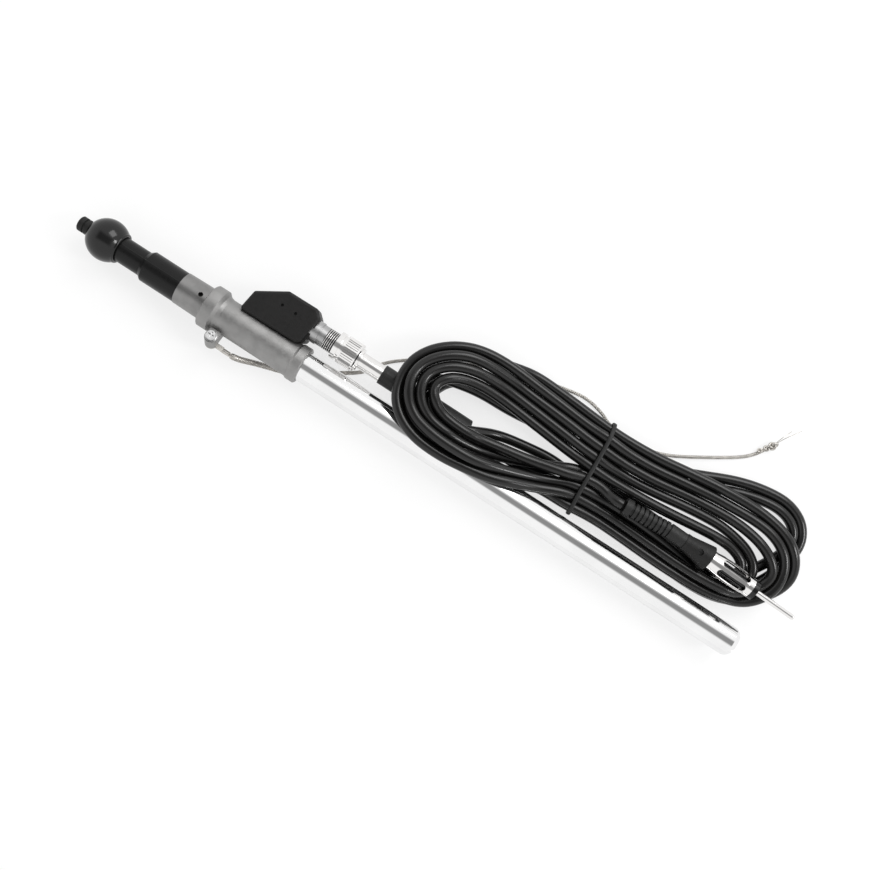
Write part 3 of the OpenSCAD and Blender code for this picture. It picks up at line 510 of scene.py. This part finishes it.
finishes = {
    "gloss_black": addFinish("glossBlack", (0.004, 0.004, 0.004), rough=(0.12, 0.2), toneScale=90,
                             grain=(400, 0.006), shine=0.4),
    "stem_black": addFinish("stemBlack", (0.004, 0.004, 0.004), rough=(0.26, 0.36), toneScale=120,
                            grain=(900, 0.01), seam=(2.1, 0.4, 0.16), shine=0.24),
    "moulded_black": addFinish("mouldedBlack", (0.0078, 0.0075, 0.0073), rough=(0.45, 0.6), toneScale=120,
                               grain=(1300, 0.1), shine=0.29),
    "rubber_black": addFinish("rubberBlack", (0.009, 0.009, 0.0088), rough=(0.45, 0.6), toneScale=150,
                              grain=(1200, 0.03), shine=0.36),
    "sheath_black": addFinish("sheathBlack", (0.006, 0.0058, 0.0056), rough=(0.19, 0.26), toneScale=40,
                              grain=(300, 0.0025), shine=0.4),
    "cast_grey": addFinish("castGrey", (0.30, 0.297, 0.293), metal=1.0, rough=(0.42, 0.58), toneScale=160,
                           grain=(1300, 0.06)),
    "sleeve_grey": addFinish("sleeveGrey", (0.25, 0.247, 0.244), metal=1.0, rough=(0.3, 0.42), toneScale=140,
                             grain=(900, 0.015), stretch=(0.1, 1, 1)),
    "bright_chrome": addFinish("brightChrome", (0.80, 0.79, 0.78), metal=1.0, rough=(0.06, 0.12), tone=0.03,
                               toneScale=80),
    "tube_chrome": addFinish("tubeChrome", (0.83, 0.83, 0.83), metal=1.0, rough=(0.06, 0.12), tone=0.03,
                             toneScale=60, grain=(400, 0.003), stretch=(0.05, 1, 1)),
    "plated_steel": addFinish("platedSteel", (0.56, 0.56, 0.56), metal=1.0, rough=(0.22, 0.34), tone=0.08,
                              toneScale=150, grain=(700, 0.004)),
    # The socket's zinc, with painted shade in its thread roots
    "socket_zinc": addFinish("socketZinc", (0.40, 0.40, 0.40), metal=1.0, rough=(0.28, 0.4), toneScale=120,
                             grain=(700, 0.006), rootShade=(63.8, 2.8)),
    # Painted shade: the plug's screw is near black metal, standing for the shade of the recess it sits in
    "screw_recess_shade": addFinish("screwRecessShade", (0.05, 0.05, 0.05), metal=1.0, rough=(0.25, 0.4), toneScale=150,
                            grain=(700, 0.01)),
    "brass": addFinish("brass", (0.72, 0.52, 0.22), metal=1.0, rough=(0.2, 0.35), toneScale=120,
                       grain=(900, 0.01)),
    "tinned": addFinish("tinned", (0.52, 0.50, 0.47), metal=1.0, rough=(0.3, 0.42), tone=0.2, toneScale=400,
                        grain=(1500, 0.02)),
    "white_plastic": addFinish("whitePlastic", (0.8, 0.79, 0.75), rough=(0.4, 0.5), toneScale=80,
                               grain=(900, 0.02)),
}
slotOf = {row["node"]: row["material_slot"] for row in frame["record"]["subparts"]}
# Solids with a finish of their own, apart from their slot's
otherFinish = {"neck": "stem_black", "plug_screw": "screw_recess_shade", "socket": "socket_zinc"}
for name in ("main_tube", "section_1", "section_2", "section_3", "tip_rod"):
    otherFinish[name] = "tube_chrome"


def paint(obj, finish):
    obj.data.materials.clear()
    obj.data.materials.append(finishes[finish])


for name, part in nodes.items():
    wanted = finishes[otherFinish.get(name, slotOf[name])]
    for place in part.material_slots:
        place.material = wanted
print("finishes made")

# The lead

leadPath = evenPath(leadPath, lead["step"])
leadCord = tubeMesh("leadCord", leadPath, lead["radius"], lead["sides"])
paint(leadCord, "sheath_black")
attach(leadCord, "base")
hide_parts("lead_start", "lead_hank", "lead_end")
print("lead built")

# Geometry Nodes trees

# An empty tree with its inputs, each a name and a first value, and one piece of geometry coming out
def newTree(name, values):
    tree = bpy.data.node_groups.new(name, "GeometryNodeTree")
    face = tree.interface
    face.new_socket("Line", in_out="INPUT", socket_type="NodeSocketGeometry")
    for title, value in values.items():
        kind = "NodeSocketInt" if isinstance(value, int) else "NodeSocketFloat"
        face.new_socket(title, in_out="INPUT", socket_type=kind).default_value = value
    face.new_socket("Finish", in_out="INPUT", socket_type="NodeSocketMaterial")
    face.new_socket("Made", in_out="OUTPUT", socket_type="NodeSocketGeometry")
    return tree, tree.nodes.new("NodeGroupInput").outputs, tree.nodes.new("NodeGroupOutput").inputs


# Sweeps a round section along the curve, with the radius of the named input, and ends the tree
def sweepWire(tree, inputs, out, curve, radius, corners):
    link, new = tree.links.new, tree.nodes.new
    section = new("GeometryNodeCurvePrimitiveCircle")
    section.inputs["Resolution"].default_value = corners
    link(inputs[radius], section.inputs["Radius"])
    sweep = new("GeometryNodeCurveToMesh")
    sweep.inputs["Fill Caps"].default_value = True
    link(curve, sweep.inputs["Curve"])
    link(section.outputs[0], sweep.inputs["Profile Curve"])
    real = new("GeometryNodeRealizeInstances")
    link(sweep.outputs[0], real.inputs[0])
    finish = new("GeometryNodeSetMaterial")
    link(real.outputs[0], finish.inputs["Geometry"])
    link(inputs["Finish"], finish.inputs["Material"])
    link(finish.outputs[0], out["Made"])


# The earthing braid

# A tube of crossing wires round a line: half of them wind one way and half the other.
def weaveTree():
    tree, inputs, out = newTree("braidWeave", {
        "Wires": 12, "Rings": 700, "Half Width": 0.001, "Half Height": 0.0005, "Extra Width": 1.0,
        "Taper": 0.09, "Opening": 0.006, "Lay": 0.006, "Wire Radius": 0.0001})
    link, new = tree.links.new, tree.nodes.new

    def product(a, b):
        return addMath(tree, "MULTIPLY", a, b)

    def share(a, b):
        return addMath(tree, "DIVIDE", a, b)

    def total(a, b):
        return addMath(tree, "ADD", a, b)

    def scaled(vector, amount):
        node = new("ShaderNodeVectorMath")
        node.operation = "SCALE"
        link(vector, node.inputs[0])
        link(amount, node.inputs["Scale"])
        return node.outputs[0]

    even = new("GeometryNodeResampleCurve")
    link(inputs["Line"], even.inputs["Curve"])
    link(inputs["Rings"], even.inputs["Count"])
    flat = new("GeometryNodeSetCurveNormal")
    flat.mode = "Z_UP"
    link(even.outputs[0], flat.inputs["Curve"])
    copies = new("GeometryNodeDuplicateElements")
    copies.domain = "SPLINE"
    link(flat.outputs[0], copies.inputs["Geometry"])
    link(inputs["Wires"], copies.inputs["Amount"])

    index, half = copies.outputs["Duplicate Index"], product(inputs["Wires"], 0.5)
    way = addMath(tree, "SUBTRACT", product(addMath(tree, "LESS_THAN", index, half), 2.0), 1.0)
    length = new("GeometryNodeSplineParameter").outputs["Length"]
    turns = share(length, inputs["Lay"])
    angle = product(total(product(turns, way), share(index, half)), 2 * math.pi)
    over = addMath(tree, "SINE", product(turns, 12 * math.pi))
    ripple = total(1.0, product(product(way, 0.08), over))  # over one wire and under the next
    taper = addMath(tree, "MAXIMUM", addMath(tree, "SUBTRACT", 1.0, share(length, inputs["Taper"])), 0.0)
    opening = addMath(tree, "MINIMUM", total(0.4, share(length, inputs["Opening"])), 1.0)
    fan = product(total(1.0, product(taper, inputs["Extra Width"])), opening)
    wide = product(product(addMath(tree, "COSINE", angle), product(inputs["Half Width"], fan)), ripple)
    high = product(product(addMath(tree, "SINE", angle), inputs["Half Height"]), ripple)

    normal, tangent = new("GeometryNodeInputNormal"), new("GeometryNodeInputTangent")
    side = new("ShaderNodeVectorMath")
    side.operation = "CROSS_PRODUCT"
    link(normal.outputs[0], side.inputs[0])
    link(tangent.outputs[0], side.inputs[1])
    offset = new("ShaderNodeVectorMath")
    offset.operation = "ADD"
    link(scaled(normal.outputs[0], wide), offset.inputs[0])
    link(scaled(side.outputs[0], high), offset.inputs[1])
    move = new("GeometryNodeSetPosition")
    link(copies.outputs["Geometry"], move.inputs["Geometry"])
    link(offset.outputs[0], move.inputs["Offset"])
    sweepWire(tree, inputs, out, move.outputs[0], "Wire Radius", 4)
    return tree


def lineObject(name, path):
    data = bpy.data.curves.new(name, "CURVE")
    data.dimensions = "3D"
    spline = data.splines.new("POLY")
    spline.points.add(len(path) - 1)
    for point, place in zip(spline.points, path):
        point.co = (*(np.asarray(place) * mm), 1)
    made = bpy.data.objects.new(name, data)
    bpy.context.scene.collection.objects.link(made)
    return made


# Runs a Geometry Nodes tree on an object with the named inputs and keeps the result as a plain mesh.
def grown(source, tree, name, **values):
    modifier = source.modifiers.new("grow", "NODES")
    modifier.node_group = tree
    for socket in tree.interface.items_tree:
        if socket.in_out == "INPUT" and socket.name in values:
            modifier[socket.identifier] = values[socket.name]
    graph = bpy.context.evaluated_depsgraph_get()
    mesh = bpy.data.meshes.new_from_object(source.evaluated_get(graph), depsgraph=graph)
    source.modifiers.clear()
    mesh.name = name
    made = bpy.data.objects.new(name, mesh)
    bpy.context.scene.collection.objects.link(made)
    return made


def joined(objects):
    with bpy.context.temp_override(active_object=objects[0], selected_editable_objects=objects):
        bpy.ops.object.join()
    return objects[0]


braid = {
    "halfWidth": 0.78, "halfHeight": 0.62, "lay": 7.0, "wires": 12, "rings": 700, "wireRadius": 0.14,
    "extraWidth": 1.05, "taper": 90, "opening": 2.5,  # it fans out flat near the ear
    "coreRadius": 0.5, "coreWidth": 1.25,
}
braidEven = evenPath(braidPath, 1.0)
for turn in range(25):  # eases the first bend, from the ear down to the ground
    braidEven[3:30] += 0.4 * ((braidEven[2:29] + braidEven[4:31]) / 2 - braidEven[3:30])
braidRun = np.arange(len(braidEven))
braidFan = 1 + braid["extraWidth"] * np.clip(1 - braidRun / braid["taper"], 0, 1)
braidFan = braidFan * np.clip(0.4 + braidRun / braid["opening"], 0, 1)
braidCore = tubeMesh("braidCore", braidEven, braid["coreRadius"], 12, width=braid["coreWidth"] * braidFan)
paint(braidCore, "tinned")
braidLine = lineObject("braidLine", evenPath(braidEven, 2.0))
braidWeave = grown(braidLine, weaveTree(), "braidWeave", **{
    "Wires": braid["wires"], "Rings": braid["rings"], "Half Width": braid["halfWidth"] * mm,
    "Half Height": braid["halfHeight"] * mm, "Extra Width": braid["extraWidth"], "Taper": braid["taper"] * mm,
    "Opening": braid["opening"] * mm, "Lay": braid["lay"] * mm, "Wire Radius": braid["wireRadius"] * mm,
    "Finish": finishes["tinned"]})
bpy.data.objects.remove(braidLine)


# Three tangled lumps and two loose wires
def addKnot():
    knot = {
        "lumps": [(0, 1.2, 0.6), (-3.4, 0.9, 0.5), (-7.2, 0.8, 0.42)],  # (place along, size, thickness)
        "loose": [(72, 12.5, 1.6), (61, 17, 0.8)],  # (direction, length, rise)
        "looseRadius": 0.2,
    }
    middle = np.array(ground["knot"])
    along, across, up = np.array([0.6, 0.8, 0]), np.array([-0.8, 0.6, 0]), np.array([0, 0, 1.0])
    pieces = []
    for shift, size, thick in knot["lumps"]:
        loop = []
        for t in np.linspace(0, 2 * math.pi, 61):
            reach = size * (1 + 0.5 * math.cos(3 * t))
            loop.append(middle + shift * along + up * (0.3 * shift / 5.0)
                        + 1.4 * reach * math.cos(2 * t) * along + reach * math.sin(2 * t) * across
                        + 0.6 * size * math.sin(3 * t) * up)
        pieces.append(tubeMesh("knotLoop", loop, thick, 8))
    for yaw, length, rise in knot["loose"]:
        way = np.array([math.cos(math.radians(yaw)), math.sin(math.radians(yaw)), 0])
        line = [middle + k * length / 12 * way + up * (rise * math.sin(k / 12 * 3) - 0.02 * k)
                + across * 0.5 * math.sin(k / 3.0) for k in range(13)]
        pieces.append(tubeMesh("looseWire", smoothPath(line, 3), knot["looseRadius"], 6))
    made = joined(pieces)
    made.name = "braidKnot"
    paint(made, "tinned")
    return made


braidKnot = addKnot()
for piece, replaced in ((braidCore, "ground_braid"), (braidWeave, None), (braidKnot, "braid_knot")):
    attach(piece, "base")
    if replaced:
        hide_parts(replaced)
print("braid woven, length", round(pathLength(braidEven)), "mm")

# The rubber tie

# Where the lead's line passes through the plane of the tie, as (distance across, height).
def crossings(path):
    turn = math.radians(tie["turn"])
    side = np.array([-math.sin(turn), math.cos(turn)])
    found = []
    gap = tieDistance(path)
    for i in np.where(gap[:-1] * gap[1:] < 0)[0]:
        t = gap[i] / (gap[i] - gap[i + 1])
        point = path[i] + t * (path[i + 1] - path[i])
        found.append(((point[:2] - [tie["x"], 0]) @ side, point[2]))
    return found


# The outline of a rubber band stretched round the points
def hull(points):
    points = sorted(set((round(a, 4), round(b, 4)) for a, b in points))

    def chain(row):
        kept = []
        for p in row:
            while len(kept) > 1 and ((kept[-1][0] - kept[-2][0]) * (p[1] - kept[-2][1])
                                     - (kept[-1][1] - kept[-2][1]) * (p[0] - kept[-2][0])) <= 0:
                kept.pop()
            kept.append(p)
        return kept[:-1]

    return chain(points) + chain(points[::-1])


def addTie():
    places = crossings(leadPath)
    keep = lead["radius"] + tie["thick"] / 2 + 0.15
    ring = hull([(a + keep * math.cos(t), b + keep * math.sin(t))
                 for a, b in places for t in np.linspace(0, 2 * math.pi, 32, endpoint=False)])
    ring = np.array(ring + ring[:1])
    along = distances(ring)
    count, corners = tie["around"], tie["corners"]
    spots = np.arange(count) / count * along[-1]
    ring = np.stack([np.interp(spots, along, ring[:, k]) for k in (0, 1)], axis=1)
    for _ in range(3):
        ring = (np.roll(ring, 1, axis=0) + 2 * ring + np.roll(ring, -1, axis=0)) / 4
    turn = math.radians(tie["turn"])
    side = Vector((-math.sin(turn), math.cos(turn), 0))
    ahead = Vector((math.cos(turn), math.sin(turn), 0))
    up = Vector((0, 0, 1))
    mesh = bpy.data.meshes.new("hankTieLoop")
    shape = bmesh.new()
    rows = []
    for k in range(count):
        way = ring[(k + 1) % count] - ring[k - 1]
        way = way / np.linalg.norm(way)
        outward = side * way[1] - up * way[0]
        centre = Vector((tie["x"], 0, 0)) + side * ring[k][0] + up * ring[k][1]
        sway = ahead * tie["sway"] * math.sin(2 * math.pi * k / count * 2)
        row = []
        for m in range(corners):
            t = 2 * math.pi * m / corners
            a, b = (math.copysign(abs(c) ** tie["squareness"], c) for c in (math.cos(t), math.sin(t)))
            corner = centre + sway + ahead * tie["width"] / 2 * a + outward * tie["thick"] / 2 * b
            row.append(shape.verts.new(corner * mm))
        rows.append(row)
    for k in range(count):
        row, following = rows[k], rows[(k + 1) % count]
        for m in range(corners):
            n = (m + 1) % corners
            shape.faces.new((row[m], following[m], following[n], row[n])).smooth = True
    bmesh.ops.recalc_face_normals(shape, faces=shape.faces)
    shape.to_mesh(mesh)
    shape.free()
    made = bpy.data.objects.new("hankTieLoop", mesh)
    bpy.context.scene.collection.objects.link(made)
    paint(made, "rubber_black")
    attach(made, "base")
    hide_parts("hank_tie")


addTie()
print("tie built")

# The thread on the socket

def threadTree():
    tree, inputs, out = newTree("threadRidge", {
        "Rounds": 6.0, "Radius": 0.005, "Length": 0.005, "Ridge": 0.0003})
    spiral = tree.nodes.new("GeometryNodeCurveSpiral")
    spiral.inputs["Resolution"].default_value = 48
    for source, target in (("Rounds", "Rotations"), ("Radius", "Start Radius"), ("Radius", "End Radius"),
                           ("Length", "Height")):
        tree.links.new(inputs[source], spiral.inputs[target])
    sweepWire(tree, inputs, out, spiral.outputs[0], "Ridge", 6)
    return tree


def addThread():
    thread = {"start": 61.0, "length": 5.6, "radius": 5.7, "ridge": 0.24, "rounds": 5.2, "y": 18.85}
    holder = bpy.data.objects.new("threadHolder", bpy.data.meshes.new("threadHolder"))
    bpy.context.scene.collection.objects.link(holder)
    made = grown(holder, threadTree(), "socketThread", **{
        "Rounds": thread["rounds"], "Radius": thread["radius"] * mm, "Length": thread["length"] * mm,
        "Ridge": thread["ridge"] * mm, "Finish": finishes["bright_chrome"]})
    bpy.data.objects.remove(holder)
    place = Matrix.Translation((thread["start"] * mm, thread["y"] * mm, 0))
    made.data.transform(place @ Matrix.Rotation(math.pi / 2, 4, "Y"))
    made.data.polygons.foreach_set("use_smooth", [True] * len(made.data.polygons))
    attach(made, "base")


addThread()
print("thread cut")

# Floor, light and world

def addFloor():
    half, height = 3.0, -0.01185
    glow = 0.72  # how much of it shows as plain white, while the rest keeps the soft shadow
    mesh = bpy.data.meshes.new("studioFloor")
    corners = [(x * half, y * half, height) for x, y in ((-1, -1), (1, -1), (1, 1), (-1, 1))]
    mesh.from_pydata(corners, [], [(0, 1, 2, 3)])
    floor = bpy.data.objects.new("studioFloor", mesh)
    bpy.context.scene.collection.objects.link(floor)
    material = bpy.data.materials.new("studioWhite")
    tree, shader, place = nodeTree(material)
    shader.inputs["Base Color"].default_value = (0.93, 0.93, 0.93, 1)
    shader.inputs["Roughness"].default_value = 0.9
    shader.inputs["Specular IOR Level"].default_value = 0.1
    rays = tree.nodes.new("ShaderNodeLightPath")
    seen = rays.outputs["Is Camera Ray"]
    for name in ("Is Glossy Ray", "Is Transmission Ray"):
        seen = addMath(tree, "ADD", seen, rays.outputs[name], clamp=True)
    white = tree.nodes.new("ShaderNodeEmission")
    white.inputs["Strength"].default_value = 1.0
    mix = tree.nodes.new("ShaderNodeMixShader")
    tree.links.new(addMath(tree, "MULTIPLY", seen, glow), mix.inputs[0])
    tree.links.new(shader.outputs[0], mix.inputs[1])
    tree.links.new(white.outputs[0], mix.inputs[2])
    tree.links.new(mix.outputs[0], tree.nodes["Material Output"].inputs["Surface"])
    floor.data.materials.append(material)


def addLamp(name, place, target, size, power):
    data = bpy.data.lights.new(name, "AREA")
    data.shape = "RECTANGLE"
    data.size, data.size_y = size
    data.energy = power
    lamp = bpy.data.objects.new(name, data)
    lamp.location = place
    lamp.rotation_euler = (Vector(target) - Vector(place)).to_track_quat("-Z", "Y").to_euler()
    lamp.visible_camera = False
    bpy.context.scene.collection.objects.link(lamp)


# A white tent with a dark slit straight above, in line with the row, where the camera looks in
def addWorld():
    tent = {"white": 1.08, "slit": 0.3, "halfWidth": (0.2, 0.47), "halfLength": (0.5, 0.8)}
    world = bpy.data.worlds.new("studioWorld")
    bpy.context.scene.world = world
    world.use_nodes = True
    tree = world.node_tree
    place = tree.nodes.new("ShaderNodeTexCoord")
    split = tree.nodes.new("ShaderNodeSeparateXYZ")
    tree.links.new(place.outputs["Generated"], split.inputs[0])
    shares = [addRange(tree, addMath(tree, "ABSOLUTE", split.outputs[axis]), edge, (1.0, 0.0), smooth=True)
              for axis, edge in (("Y", tent["halfWidth"]), ("X", tent["halfLength"]))]
    level = addRange(tree, addMath(tree, "MULTIPLY", *shares), (0.0, 1.0), (tent["white"], tent["slit"]))
    tree.links.new(level, tree.nodes["Background"].inputs["Color"])
    tree.nodes["Background"].inputs["Strength"].default_value = 1.0


addFloor()
addWorld()
addLamp("keyLamp", (0.35, 0.95, 0.85), (0.13, 0.01, 0), (0.7, 0.7), 6)  # place, target, size in metres, watts
addLamp("endLamp", (1.05, 0.35, 0.75), (0.2, 0.03, 0), (0.3, 0.3), 4)
bpy.context.scene.view_settings.view_transform = "Standard"
